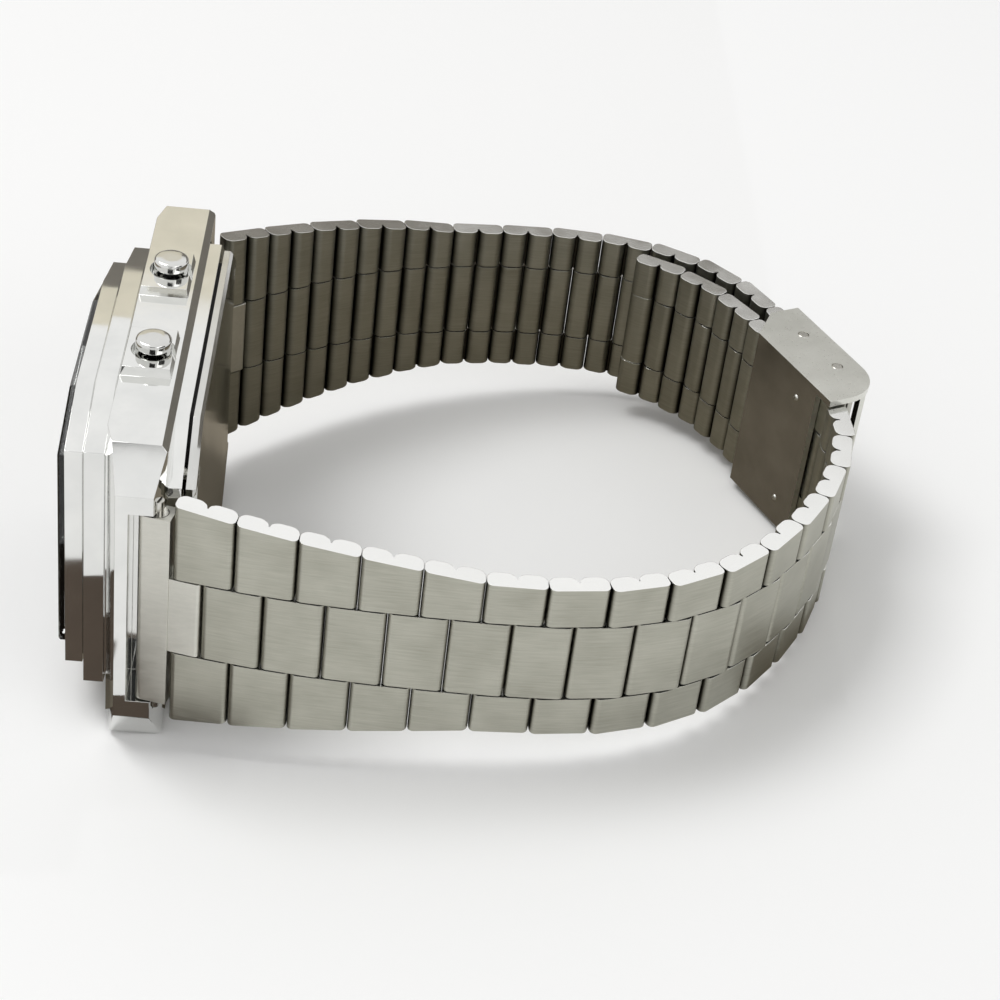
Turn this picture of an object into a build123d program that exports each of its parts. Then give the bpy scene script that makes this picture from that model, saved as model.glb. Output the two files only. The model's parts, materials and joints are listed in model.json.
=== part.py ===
from build123d import *
from math import atan2, cos, degrees, hypot, radians, sin, sqrt
import os

# A digital watch on a folded-link steel bracelet, standing on the side of its case.
# Everything is drawn in the watch's own frame and stood up at the end:
# X runs from the dial (low) to the case back (high), Y from 12 o'clock (low) to 6 o'clock (high),
# Z from 3 o'clock (low) to 9 o'clock (high). X = 0 is the front of the lugs, Y = Z = 0 the case centre.

# Case, front to back (all X places, then the half sizes of each layer)
crystal_front_x = -5.6
crystal_thick = 1.7
crystal_edge = 0.15
first_step_x = -4.9
first_step_back_x = -3.55
second_step_x = -3.3
second_step_back_x = -1.75
wall_front_x = -1.5
wall_back_x = 2.4
flange_x = 3.2
case_end_x = 4.2
back_seat_x = 4.45
back_thick = 0.75
back_edge = 0.25

# The case is drawn outward from the cell: room around it, walls, then the front steps inside the walls
cell_radius = 10.0
cell_room_y = 3.0
cell_room_z = 1.6
side_wall = 2.4
second_step_wall = 2.1
second_step_inset_z = 0.9
first_step_inset_y = 1.2
first_step_inset_z = 0.9
crystal_rim_y = 1.1
crystal_rim_z = 1.2
crystal_seat = 1.3
groove_depth = 0.45
flange_inset_y = 2.2
flange_inset_z = 0.5
back_inset_y = 0.4
back_inset_z = 0.3
corner_cut_y = 2.0
corner_cut_z = 3.4
rear_cut_y = 4.6
step_cut_y = 6.5
step_cut_z = 2.0

# Lugs and the pocket that holds each end link
lug_gap = 18.0
lug_thick = 1.6
lug_front_x = -0.4
lug_bar_thick = 0.95
pocket_wall = 2.7
pocket_room = 1.95
shoulder_inset = 0.3

# Spring bars
bar_x = 2.7
bar_inset = 0.9
bar_radius = 0.75
bar_tip_radius = 0.4
bar_tip_length = 0.9
bar_end_gap = 0.15

# Raised button platforms, buttons and their seals
platform_inner_reach = 3.1
platform_outer_reach = 2.8
platform_height = 0.75
platform_taper = 11.0
button_x = 0.72
button_y = 6.0
button_radius = 1.38
button_proud = 1.1
button_sunk = 0.3
button_well_radius = 1.7
button_well_depth = 0.95
button_edge = 0.2
stem_radius = 0.7
clip_radius = 1.05
clip_thick = 0.25
clip_inset = 0.1
seal_radius = 1.12
seal_height = 0.7
seal_depth = 0.75

# Hollow inside the case and what fills it
ledge_x = -2.9
hollow_corner = 2.5
mask_thick = 0.3
mask_edge_y = 2.4
mask_edge_z = 1.5
mask_window_y = 0.6
lcd_thick = 1.0
lcd_share = 0.7
lcd_room_z = 2.2
light_thick = 0.3
light_share = 0.74
light_inset_z = 0.6
zebra_width = 1.1
zebra_inset_y = 0.15
zebra_inset_z = 0.8
board_x = 0.6
board_thick = 0.6
module_back_x = 2.7
module_wall = 1.0
cell_thick = 1.6
cell_edge = 0.2
clip_strip_width = 5.0
clip_strip_thick = 0.25
piezo_inset = 1.5
piezo_thick = 0.25
contact_thick = 0.2
contact_width = 2.0
contact_length = 5.0
contact_gap = 0.15
contact_rest_gap = 0.45
gasket_width = 0.9
screw_radius = 0.8
screw_head_thick = 0.35
screw_shank_radius = 0.5
screw_length = 2.6
screw_margin = 0.7
screw_inset_z = 3.6
screw_slot = 0.3

# Bracelet links
pitch = 4.63
link_thick = 1.7
plate_thick = 0.85
lobe_round = 0.75
outer_round = 0.3
link_gap = 0.1
column_gap = 0.1
middle_width = 6.95
strap_width = 14.1
strap_overlap = 1.3
taper_per_row = 1.25
pin_radius = 0.4
pin_cover = 0.55
running_gap = 0.03
end_block_length = 2.7
end_block_thick = 1.9
end_block_gap = 0.15
end_block_round = 0.5

# Clasp, measured along the strap from its near end and outward from the strap's middle
clasp_wall = 0.55
clasp_length = 13.8
clasp_side_gap = 0.15
clasp_inner_gap = 0.02
clasp_over = 0.3
clasp_depth = 5.75
clasp_near_round = 3.6
clasp_heel_round = 1.8
clasp_far_round = 1.9
clasp_toe_length = 2.6
clasp_toe_height = 2.9
clasp_plate_start = 1.7
clasp_pin_radius = 0.5
cover_pin_share = 0.325
strap_pin_share = 0.71
clasp_pin_lift = 2.3
cover_thick = 0.5
cover_sink = 0.05
cover_knuckle = 0.92
cover_back = 0.75
cover_side_gap = 0.1
cover_cam_width = 2.2
cover_cam_half = 0.4
cover_cam_reach = 1.37
cover_front_gap = 1.2
bridge_gap = 0.12
bridge_drop = 0.45
bridge_length = 0.65
dimple_radius = 0.33
dimple_height = 0.16
dimple_place = 4.2
dimple_z = 5.3

# The way the closed bracelet lies, as headings in degrees from the +X direction
near_end_heading = -13.0
near_headings = [-10, -7, -4, -2, -1, 2, 8, 18, 30, 43, 53, 60, 69, 80, 94]
clasp_heading = 117.0
clasp_rows = 3
far_turn_shares = [0.0, 0.01, 0.04, 0.09, 0.16, 0.22, 0.28, 0.33, 0.4, 0.49, 0.63, 0.79, 0.92, 1.0]
widest_turn = 200.0
closing_steps = 60

# The loose tail runs back along the far rows it lies against, turned a little more than each of them
tail_spread = [4.67, 5.82, 2.78]
half_turn = 180.0

# How close a measured place or area must come to count as the one looked for
match_tolerance = 0.01

# Sizes worked out from the ones above: the hollow and the walls around it
hollow_half_y = cell_radius + cell_room_y
hollow_half_z = cell_radius + cell_room_z
wall_half_z = hollow_half_z + side_wall
second_step_half_y = hollow_half_y + second_step_wall
second_step_half_z = wall_half_z - second_step_inset_z
first_step_half_y = second_step_half_y - first_step_inset_y
first_step_half_z = second_step_half_z - first_step_inset_z
crystal_half_y = first_step_half_y - crystal_rim_y
crystal_half_z = first_step_half_z - crystal_rim_z
window_half_y = crystal_half_y - crystal_seat
window_half_z = crystal_half_z - crystal_seat
pocket_half_y = hollow_half_y + pocket_wall
bar_half_y = pocket_half_y + pocket_room + end_block_thick / 2
lug_half_y = bar_half_y + bar_inset
lug_half_z = lug_gap / 2 + lug_thick
shoulder_y = second_step_half_y + shoulder_inset
flange_half_y = lug_half_y - flange_inset_y
flange_half_z = wall_half_z - flange_inset_z
back_half_y = flange_half_y - back_inset_y
back_half_z = flange_half_z - back_inset_z
screw_half_y = hollow_half_y + gasket_width + screw_margin
screw_half_z = back_half_z - screw_inset_z
overrun = wall_half_z

# Inside the hollow
lcd_half_y = cell_radius * lcd_share
lcd_half_z = hollow_half_z - lcd_room_z
mask_window_half_y = lcd_half_y - mask_edge_y
mask_window_half_z = lcd_half_z - mask_edge_z
light_half_y = lcd_half_y * light_share
light_half_z = lcd_half_z - light_inset_z
zebra_half_z = lcd_half_z - zebra_inset_z
zebra_y = lcd_half_y - zebra_inset_y - zebra_width / 2
piezo_radius = cell_radius - piezo_inset
contact_z = hollow_half_z - link_gap - module_wall
stem_end_z = contact_z + contact_thick + contact_rest_gap
platform_x = (wall_front_x + wall_back_x) / 2
platform_y = button_y + (platform_outer_reach - platform_inner_reach) / 2
platform_reach = platform_outer_reach + platform_inner_reach

# Bracelet and clasp
strap_width_at_case = lug_gap + 2 * strap_overlap
link_half = link_thick / 2
middle_half = middle_width / 2
column_start = middle_half + column_gap
crystal_back_x = crystal_front_x + crystal_thick
platform_z = wall_half_z + platform_height
button_top_z = platform_z + button_proud
button_under_z = platform_z - button_sunk
well_floor_z = platform_z - button_well_depth
case_back_x = back_seat_x + back_thick
mask_back_x = ledge_x + mask_thick
lcd_back_x = mask_back_x + lcd_thick
board_back_x = board_x + board_thick
half_pitch = pitch / 2
hinge_place = pitch / 4
own_pin_place = half_pitch + hinge_place
end_pin_place = pitch + hinge_place
clasp_inner_n = -link_half - clasp_inner_gap - clasp_wall
clasp_outer_n = clasp_inner_n + clasp_depth
clasp_wall_z = strap_width / 2 + clasp_side_gap
clasp_half_z = clasp_wall_z + clasp_wall
cover_pin_s = clasp_length * cover_pin_share - clasp_over
strap_pin_s = clasp_length * strap_pin_share - clasp_over
cover_outer_n = clasp_outer_n - cover_sink
cover_inner_n = cover_outer_n - cover_thick
cover_swing = hypot(cover_back, cover_outer_n - clasp_pin_lift)
bridge_outer_n = clasp_outer_n - bridge_drop
bridge_inner_n = bridge_outer_n - cover_thick
bridge_reach = sqrt((cover_swing + bridge_gap) ** 2 - (bridge_inner_n - clasp_pin_lift) ** 2)
bridge_s = cover_pin_s - bridge_reach - bridge_length / 2

pieces = []


def keep(builder, name):
    """Label a finished piece and put it on the list that is stood up and written."""
    builder.part.label = name
    pieces.append(builder.part)


def octagon(half_y, half_z, cut_y, cut_z):
    """An eight-sided outline: a rectangle with its corners cut off."""
    Polygon(
        (half_y, half_z - cut_z),
        (half_y - cut_y, half_z),
        (cut_y - half_y, half_z),
        (-half_y, half_z - cut_z),
        (-half_y, cut_z - half_z),
        (cut_y - half_y, -half_z),
        (half_y - cut_y, -half_z),
        (half_y, cut_z - half_z),
    )


def layer(start_x, end_x, half_y, half_z, cut_y, cut_z, mode=Mode.ADD):
    """An eight-sided slab between two X places."""
    with BuildSketch(Plane.YZ.offset(start_x)) as outline:
        octagon(half_y, half_z, cut_y, cut_z)
    extrude(outline.sketch, amount=end_x - start_x, mode=mode)


def box_cut(x_low, x_high, y_low, y_high, z_low, z_high, mode=Mode.SUBTRACT):
    """A straight-sided block between low and high places."""
    with BuildSketch(Plane.YZ.offset(x_low)) as outline:
        with Locations(((y_low + y_high) / 2, (z_low + z_high) / 2)):
            Rectangle(y_high - y_low, z_high - z_low)
    extrude(outline.sketch, amount=x_high - x_low, mode=mode)


# Case body: stepped front, wall with lugs and button platforms, rear flange
with BuildPart() as case_body:
    layer(first_step_x, first_step_back_x, first_step_half_y, first_step_half_z, step_cut_y, step_cut_z)
    layer(
        first_step_back_x,
        second_step_x,
        first_step_half_y - groove_depth,
        first_step_half_z - groove_depth,
        step_cut_y,
        step_cut_z,
    )
    layer(second_step_x, second_step_back_x, second_step_half_y, second_step_half_z, step_cut_y, step_cut_z)
    layer(
        second_step_back_x,
        wall_front_x,
        second_step_half_y - groove_depth,
        second_step_half_z - groove_depth,
        step_cut_y,
        step_cut_z,
    )
    # The wall's outline seen from the side, whose front falls away towards the lugs
    with BuildSketch(Plane.XY.offset(-wall_half_z)):
        Polygon(
            (wall_front_x, -shoulder_y),
            (wall_front_x, shoulder_y),
            (lug_front_x, lug_half_y),
            (wall_back_x, lug_half_y),
            (flange_x, lug_half_y - corner_cut_y),
            (flange_x, corner_cut_y - lug_half_y),
            (wall_back_x, -lug_half_y),
            (lug_front_x, -lug_half_y),
            align=None,
        )
    extrude(amount=2 * wall_half_z)
    # The same wall seen from the dial: corner facets run down to the narrower lugs
    with BuildSketch(Plane.YZ.offset(crystal_front_x)):
        Polygon(
            (lug_half_y, lug_half_z),
            (lug_half_y - corner_cut_y, wall_half_z),
            (corner_cut_y - lug_half_y, wall_half_z),
            (-lug_half_y, lug_half_z),
            (-lug_half_y, -lug_half_z),
            (corner_cut_y - lug_half_y, -wall_half_z),
            (lug_half_y - corner_cut_y, -wall_half_z),
            (lug_half_y, -lug_half_z),
        )
    extrude(amount=case_end_x - crystal_front_x, mode=Mode.INTERSECT)
    # Sloping edge between the wall and the flange
    slope_edges = case_body.edges().filter_by(Axis.Y).group_by(Axis.X)[-1].filter_by_position(
        Axis.Z, -wall_half_z, wall_half_z
    )
    chamfer(
        [edge for edge in slope_edges if abs(abs(edge.center().Z) - wall_half_z) < match_tolerance],
        length=wall_half_z - flange_half_z,
    )
    layer(flange_x, case_end_x, flange_half_y, flange_half_z, rear_cut_y, corner_cut_z)
    # Button platforms on the 9 o'clock side, with sloping shoulders towards the back
    for side in (-1, 1):
        with BuildSketch(Plane.XY.offset(wall_half_z)):
            with Locations((platform_x, side * platform_y)):
                Rectangle(wall_back_x - wall_front_x, platform_reach)
        extrude(amount=platform_height, taper=platform_taper)
    # Pockets behind the front bar, between the lugs, for the end links
    for side in (-1, 1):
        box_cut(
            lug_front_x + lug_bar_thick,
            case_end_x + overrun,
            min(side * pocket_half_y, side * (lug_half_y + overrun)),
            max(side * pocket_half_y, side * (lug_half_y + overrun)),
            -lug_gap / 2,
            lug_gap / 2,
        )
        # Spring bar holes through both lugs
        with BuildSketch(Plane.XY.offset(-lug_gap / 2 - bar_tip_length - bar_end_gap)):
            with Locations((bar_x, side * bar_half_y)):
                Circle(bar_tip_radius + running_gap)
        extrude(amount=lug_gap + 2 * (bar_tip_length + bar_end_gap), mode=Mode.SUBTRACT)
    # Hollow for the movement, window and crystal seat
    cut = Mode.SUBTRACT
    hollow_end_x = case_end_x + overrun
    layer(ledge_x, hollow_end_x, hollow_half_y, hollow_half_z, hollow_corner, hollow_corner, cut)
    layer(crystal_front_x, ledge_x, window_half_y, window_half_z, step_cut_y, step_cut_z, cut)
    layer(crystal_front_x, crystal_back_x, crystal_half_y, crystal_half_z, step_cut_y, step_cut_z, cut)
    # Wells and stem holes for the two buttons, and the seal seats inside them
    for side in (-1, 1):
        with BuildSketch(Plane.XY.offset(well_floor_z)):
            with Locations((button_x, side * button_y)):
                Circle(button_well_radius)
        extrude(amount=overrun, mode=Mode.SUBTRACT)
        with BuildSketch(Plane.XY.offset(hollow_half_z - overrun / 2)):
            with Locations((button_x, side * button_y)):
                Circle(stem_radius + running_gap)
        extrude(amount=overrun, mode=Mode.SUBTRACT)
        with BuildSketch(Plane.XY.offset(hollow_half_z + seal_depth)):
            with Locations((button_x, side * button_y)):
                Circle(seal_radius)
        extrude(amount=seal_height, mode=Mode.SUBTRACT)
    # Blind holes for the case back screws
    with BuildSketch(Plane.YZ.offset(case_end_x - screw_length)):
        with GridLocations(2 * screw_half_y, 2 * screw_half_z, 2, 2):
            Circle(screw_shank_radius)
    extrude(amount=screw_length, mode=Mode.SUBTRACT)
keep(case_body, "case_body")

with BuildPart() as crystal:
    layer(crystal_front_x, crystal_back_x, crystal_half_y, crystal_half_z, step_cut_y, step_cut_z)
    chamfer(crystal.faces().sort_by(Axis.X)[0].edges(), length=crystal_edge)
keep(crystal, "crystal")

with BuildPart() as dial_mask:
    layer(
        ledge_x,
        mask_back_x,
        hollow_half_y - link_gap,
        hollow_half_z - link_gap,
        hollow_corner,
        hollow_corner,
    )
    box_cut(
        ledge_x,
        mask_back_x,
        mask_window_y - mask_window_half_y,
        mask_window_y + mask_window_half_y,
        -mask_window_half_z,
        mask_window_half_z,
    )
keep(dial_mask, "dial_mask")

with BuildPart() as lcd_glass:
    box_cut(mask_back_x, lcd_back_x, -lcd_half_y, lcd_half_y, -lcd_half_z, lcd_half_z, Mode.ADD)
keep(lcd_glass, "lcd_glass")

with BuildPart() as light_panel:
    box_cut(
        lcd_back_x,
        lcd_back_x + light_thick,
        -light_half_y,
        light_half_y,
        -light_half_z,
        light_half_z,
        Mode.ADD,
    )
keep(light_panel, "light_panel")

with BuildPart() as zebra_strips:
    for side in (-1, 1):
        box_cut(
            lcd_back_x,
            board_x,
            side * zebra_y - zebra_width / 2,
            side * zebra_y + zebra_width / 2,
            -zebra_half_z,
            zebra_half_z,
            Mode.ADD,
        )
keep(zebra_strips, "zebra_strips")

# Plastic frame that locates the display, the board and the cell
with BuildPart() as module_frame:
    layer(
        mask_back_x,
        module_back_x,
        hollow_half_y - link_gap,
        hollow_half_z - link_gap,
        hollow_corner,
        hollow_corner,
    )
    box_cut(mask_back_x, lcd_back_x, -lcd_half_y, lcd_half_y, -lcd_half_z, lcd_half_z)
    box_cut(
        lcd_back_x,
        lcd_back_x + light_thick,
        -light_half_y,
        light_half_y,
        -light_half_z,
        light_half_z,
    )
    for side in (-1, 1):
        box_cut(
            lcd_back_x,
            board_x,
            side * zebra_y - zebra_width / 2,
            side * zebra_y + zebra_width / 2,
            -zebra_half_z,
            zebra_half_z,
        )
        # Notches in the rim that clear each button's stem, clip and contact
        box_cut(
            button_x - clip_radius - running_gap - contact_gap,
            module_back_x,
            side * button_y - contact_length / 2 - contact_gap,
            side * button_y + contact_length / 2 + contact_gap,
            hollow_half_z - link_gap - module_wall,
            hollow_half_z + overrun,
        )
    layer(
        board_x,
        module_back_x,
        hollow_half_y - link_gap - module_wall,
        hollow_half_z - link_gap - module_wall,
        hollow_corner,
        hollow_corner,
        Mode.SUBTRACT,
    )
keep(module_frame, "module_frame")

with BuildPart() as circuit_board:
    layer(
        board_x,
        board_back_x,
        hollow_half_y - 2 * link_gap - module_wall,
        hollow_half_z - 2 * link_gap - module_wall,
        hollow_corner,
        hollow_corner,
    )
keep(circuit_board, "circuit_board")

with BuildPart() as battery_cell:
    with BuildSketch(Plane.YZ.offset(board_back_x)):
        Circle(cell_radius)
    extrude(amount=cell_thick)
    fillet(battery_cell.edges().group_by(Axis.X)[-1], radius=cell_edge)
keep(battery_cell, "battery_cell")

# Strip that holds the cell, with its two ends turned down onto the board
with BuildPart() as battery_clip:
    box_cut(
        board_back_x + cell_thick,
        board_back_x + cell_thick + clip_strip_thick,
        -clip_strip_width / 2,
        clip_strip_width / 2,
        -cell_radius - link_gap - clip_strip_thick,
        cell_radius + link_gap + clip_strip_thick,
        Mode.ADD,
    )
    for side in (-1, 1):
        edge_z = side * (cell_radius + link_gap + clip_strip_thick / 2)
        box_cut(
            board_back_x,
            board_back_x + cell_thick,
            -clip_strip_width / 2,
            clip_strip_width / 2,
            edge_z - clip_strip_thick / 2,
            edge_z + clip_strip_thick / 2,
            Mode.ADD,
        )
keep(battery_clip, "battery_clip")

with BuildPart() as piezo_disc:
    with BuildSketch(Plane.YZ.offset(back_seat_x - piezo_thick)):
        Circle(piezo_radius)
    extrude(amount=piezo_thick)
keep(piezo_disc, "piezo_disc")

# One leaf contact behind each button
with BuildPart() as contact_springs:
    for side in (-1, 1):
        box_cut(
            button_x - contact_width / 2,
            button_x + contact_width / 2,
            side * button_y - contact_length / 2,
            side * button_y + contact_length / 2,
            contact_z,
            contact_z + contact_thick,
            Mode.ADD,
        )
keep(contact_springs, "contact_springs")

with BuildPart() as back_gasket:
    layer(
        case_end_x,
        back_seat_x,
        hollow_half_y + gasket_width,
        hollow_half_z + gasket_width,
        hollow_corner,
        hollow_corner,
    )
    layer(case_end_x, back_seat_x, hollow_half_y, hollow_half_z, hollow_corner, hollow_corner, Mode.SUBTRACT)
keep(back_gasket, "back_gasket")

with BuildPart() as case_back:
    layer(back_seat_x, case_back_x, back_half_y, back_half_z, rear_cut_y, corner_cut_z)
    for side in (-1, 1):
        box_cut(
            back_seat_x,
            case_back_x,
            min(side * pocket_half_y, side * (lug_half_y + overrun)),
            max(side * pocket_half_y, side * (lug_half_y + overrun)),
            -lug_gap / 2,
            lug_gap / 2,
        )
    chamfer(case_back.faces().sort_by(Axis.X)[-1].edges(), length=back_edge)
    with BuildSketch(Plane.YZ.offset(back_seat_x)):
        with GridLocations(2 * screw_half_y, 2 * screw_half_z, 2, 2):
            Circle(screw_shank_radius + running_gap)
    extrude(amount=back_thick, mode=Mode.SUBTRACT)
    with BuildSketch(Plane.YZ.offset(case_back_x - screw_head_thick)):
        with GridLocations(2 * screw_half_y, 2 * screw_half_z, 2, 2):
            Circle(screw_radius + running_gap)
    extrude(amount=screw_head_thick, mode=Mode.SUBTRACT)
keep(case_back, "case_back")

with BuildPart() as case_back_screws:
    with BuildSketch(Plane.YZ.offset(case_back_x - screw_head_thick)):
        with GridLocations(2 * screw_half_y, 2 * screw_half_z, 2, 2):
            Circle(screw_radius)
    extrude(amount=screw_head_thick)
    with BuildSketch(Plane.YZ.offset(case_end_x - screw_length)):
        with GridLocations(2 * screw_half_y, 2 * screw_half_z, 2, 2):
            Circle(screw_shank_radius)
    extrude(amount=case_back_x - screw_head_thick - case_end_x + screw_length)
    with BuildSketch(Plane.YZ.offset(case_back_x - screw_head_thick / 2)):
        with GridLocations(2 * screw_half_y, 2 * screw_half_z, 2, 2):
            Rectangle(2 * screw_radius, screw_slot)
            Rectangle(screw_slot, 2 * screw_radius)
    extrude(amount=screw_head_thick, mode=Mode.SUBTRACT)
keep(case_back_screws, "case_back_screws")


def spring_bar(side, name):
    """A sprung pin between two lugs: a tube with a thin tip at each end."""
    with BuildPart() as bar:
        with BuildSketch(Plane.XY.offset(bar_end_gap - lug_gap / 2)):
            with Locations((bar_x, side * bar_half_y)):
                Circle(bar_radius)
        extrude(amount=lug_gap - 2 * bar_end_gap)
        with BuildSketch(Plane.XY.offset(-lug_gap / 2 - bar_tip_length)):
            with Locations((bar_x, side * bar_half_y)):
                Circle(bar_tip_radius)
        extrude(amount=lug_gap + 2 * bar_tip_length)
    keep(bar, name)


spring_bar(-1, "near_spring_bar")
spring_bar(1, "far_spring_bar")


def push_button(side, name):
    """A round cap on a stem, with the clip that keeps it in the case."""
    with BuildPart() as button:
        with BuildSketch(Plane.XY.offset(button_under_z)):
            with Locations((button_x, side * button_y)):
                Circle(button_radius)
        extrude(amount=button_top_z - button_under_z)
        fillet(button.edges().group_by(Axis.Z)[-1], radius=button_edge)
        with BuildSketch(Plane.XY.offset(stem_end_z)):
            with Locations((button_x, side * button_y)):
                Circle(stem_radius)
        extrude(amount=button_under_z - stem_end_z)
        with BuildSketch(Plane.XY.offset(hollow_half_z - clip_inset - clip_thick)):
            with Locations((button_x, side * button_y)):
                Circle(clip_radius)
        extrude(amount=clip_thick)
    keep(button, name)


push_button(-1, "near_button")
push_button(1, "far_button")

with BuildPart() as button_seals:
    for side in (-1, 1):
        with BuildSketch(Plane.XY.offset(hollow_half_z + seal_depth)):
            with Locations((button_x, side * button_y)):
                Circle(seal_radius)
                Circle(stem_radius + running_gap, mode=Mode.SUBTRACT)
        extrude(amount=seal_height)
keep(button_seals, "button_seals")


def heading_vector(angle):
    """Unit vector in the XY plane at a heading in degrees."""
    return Vector(cos(radians(angle)), sin(radians(angle)))


def link_plane(origin, angle, side):
    """Sketch plane of one link: along the strap, then outward from the wrist."""
    return Plane(origin=origin, x_dir=heading_vector(angle), z_dir=(0, 0, -side))


def link_outline(start, length, lobes):
    """Side profile of a folded link: a flat outer plate over rolled lobes."""
    lobe = length / lobes
    for index in range(lobes):
        with Locations((start + lobe * index + lobe / 2, 0)):
            RectangleRounded(lobe, link_thick, lobe_round)
    with BuildSketch(mode=Mode.PRIVATE) as plate:
        with Locations((start + length / 2, link_half - plate_thick / 2)):
            Rectangle(length, plate_thick)
        fillet(plate.vertices().group_by(Axis.Y)[-1], radius=outer_round)
    add(plate.sketch)


def strap_width_at(boundary):
    """Width of the bracelet at the start of a row, counted from the case."""
    return max(strap_width, strap_width_at_case - taper_per_row * boundary)


def outer_links(plane, width_start, width_end, length):
    """The two outer links of a row, tapered in width and bored for their pins."""
    widest = max(width_start, width_end) / 2
    for side in (-1, 1):
        base = plane.offset(column_start if side > 0 else -widest)
        with BuildSketch(base) as outline:
            link_outline(link_gap / 2, length - link_gap, 2)
        extrude(outline.sketch, amount=widest - column_start)
    if width_start > width_end:
        front = Plane(origin=plane.origin, x_dir=plane.x_dir, z_dir=plane.y_dir)
        for side in (-1, 1):
            with BuildSketch(front) as wedge:
                Polygon(
                    (0, side * width_start / 2),
                    (length, side * width_end / 2),
                    (length, side * (width_start / 2 + overrun)),
                    (0, side * (width_start / 2 + overrun)),
                    align=None,
                )
            extrude(wedge.sketch, amount=link_thick, both=True, mode=Mode.SUBTRACT)


def bore(plane, place, half_depth, radius):
    """Cut a pin hole, closed at both ends."""
    with BuildSketch(plane.offset(-half_depth)) as hole:
        with Locations((place, 0)):
            Circle(radius)
    extrude(hole.sketch, amount=2 * half_depth, mode=Mode.SUBTRACT)


def rod(plane, place, half_length, radius):
    """A pin along the strap's width, as a solid of its own."""
    with BuildPart(mode=Mode.PRIVATE) as pin:
        with BuildSketch(plane.offset(-half_length)):
            with Locations((place, 0)):
                Circle(radius)
        extrude(amount=2 * half_length)
    return pin.part.solid()


def middle_link(plane, start, length, lobes, holes):
    """The middle link of a row, as a solid of its own."""
    with BuildPart(mode=Mode.PRIVATE) as middle:
        with BuildSketch(plane.offset(-middle_half)):
            link_outline(start + link_gap / 2, length - link_gap, lobes)
        extrude(amount=middle_width)
        for place, radius in holes:
            with BuildSketch(plane.offset(-middle_half)):
                with Locations((place, 0)):
                    Circle(radius)
            extrude(amount=middle_width, mode=Mode.SUBTRACT)
    return middle.part.solid()


def row_solids(plane, boundary, last_hole=pin_radius, end_pin=True):
    """All the solids of one row: two outer links, one middle link and its pins."""
    width_start = strap_width_at(boundary)
    width_end = strap_width_at(boundary + 1)
    pin_half = width_end / 2 - pin_cover
    with BuildPart(mode=Mode.PRIVATE) as outer:
        outer_links(plane, width_start, width_end, pitch)
        bore(plane, hinge_place, pin_half + running_gap, pin_radius + running_gap)
        bore(plane, own_pin_place, pin_half, pin_radius)
    solids = list(outer.part.solids())
    holes = [(own_pin_place, pin_radius), (end_pin_place, last_hole)]
    solids.append(middle_link(plane, half_pitch, pitch, 2, holes))
    solids.append(rod(plane, own_pin_place, pin_half, pin_radius))
    if end_pin:
        next_half = strap_width_at(boundary + 2) / 2 - pin_cover
        solids.append(rod(plane, end_pin_place, next_half, pin_radius))
    return solids


def keep_solids(solids, name):
    """Keep a group of separate solids under one name, touching but not joined."""
    group = Compound(solids)
    group.label = name
    pieces.append(group)


def walk(first_hinge, headings, side):
    """Planes of the rows that follow a hinge, each starting a quarter pitch before its own hinge."""
    planes = []
    hinge = first_hinge
    for angle in headings:
        along = heading_vector(angle)
        planes.append(link_plane(hinge - along * hinge_place, angle, side))
        hinge = hinge + along * pitch
    return planes


def end_link(plane, name):
    """The block between the lugs, with the tab that carries the first row."""
    block_start = -end_block_length
    block_end = -end_block_gap
    tab_end = half_pitch - link_gap / 2
    with BuildPart() as block:
        with BuildSketch(plane.offset(end_block_gap - lug_gap / 2)) as outline:
            with Locations(((block_start + block_end) / 2, 0)):
                Rectangle(block_end - block_start, end_block_thick)
            fillet(outline.vertices().group_by(Axis.X)[0], radius=end_block_round)
        extrude(amount=lug_gap - 2 * end_block_gap)
        with BuildSketch(plane.offset(-middle_half)):
            with Locations(((block_end + tab_end) / 2, 0)):
                Rectangle(tab_end - block_end, link_thick)
        extrude(amount=middle_width)
        tab_area = middle_width * link_thick
        tab_face = block.faces().filter_by(lambda face: abs(face.area - tab_area) < match_tolerance)
        fillet(tab_face.edges().filter_by(Axis.Z), radius=outer_round)
        bore(plane, -end_block_length / 2, lug_gap / 2, bar_radius + running_gap)
        bore(plane, hinge_place, middle_half + overrun, pin_radius)
    pin = rod(plane, hinge_place, strap_width_at(1) / 2 - pin_cover, pin_radius)
    keep_solids([block.part.solid(), pin], name)


# Near half: end link, rows round to the clasp, rows inside it and the loose tail
near_bar = Vector(bar_x, -bar_half_y)
near_start = near_bar + heading_vector(near_end_heading) * (end_block_length / 2)
near_end_plane = link_plane(near_start, near_end_heading, 1)
end_link(near_end_plane, "near_end_link")

near_first_hinge = near_start + heading_vector(near_end_heading) * hinge_place
clasp_plane = walk(near_first_hinge, near_headings + [clasp_heading], 1)[-1]

# The way the far half runs from the far lugs to the strap pin, closed by choosing how much it turns
far_bar = Vector(bar_x, bar_half_y)
strap_pin_point = clasp_plane.from_local_coords(Vector(strap_pin_s, clasp_pin_lift))
far_rows = len(far_turn_shares) - 1


def far_chain(turn):
    """Points of the far half for a total turn, started along the X direction."""
    reach = Vector(0, 0)
    lengths = [end_block_length / 2 + hinge_place] + [pitch] * far_rows
    for length, share in zip(lengths, far_turn_shares):
        reach = reach + heading_vector(-turn * share) * length
    return reach


span = strap_pin_point - far_bar
low_turn = 0.0
high_turn = widest_turn
for _ in range(closing_steps):
    far_turn = (low_turn + high_turn) / 2
    if far_chain(far_turn).length > span.length:
        low_turn = far_turn
    else:
        high_turn = far_turn
chain_reach = far_chain(far_turn)
far_first_heading = degrees(atan2(span.Y, span.X) - atan2(chain_reach.Y, chain_reach.X))
far_headings = [far_first_heading - far_turn * share for share in far_turn_shares]
tail_headings = [
    far_headings[far_rows - step] + half_turn + extra for step, extra in enumerate(tail_spread, start=1)
]

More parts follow.
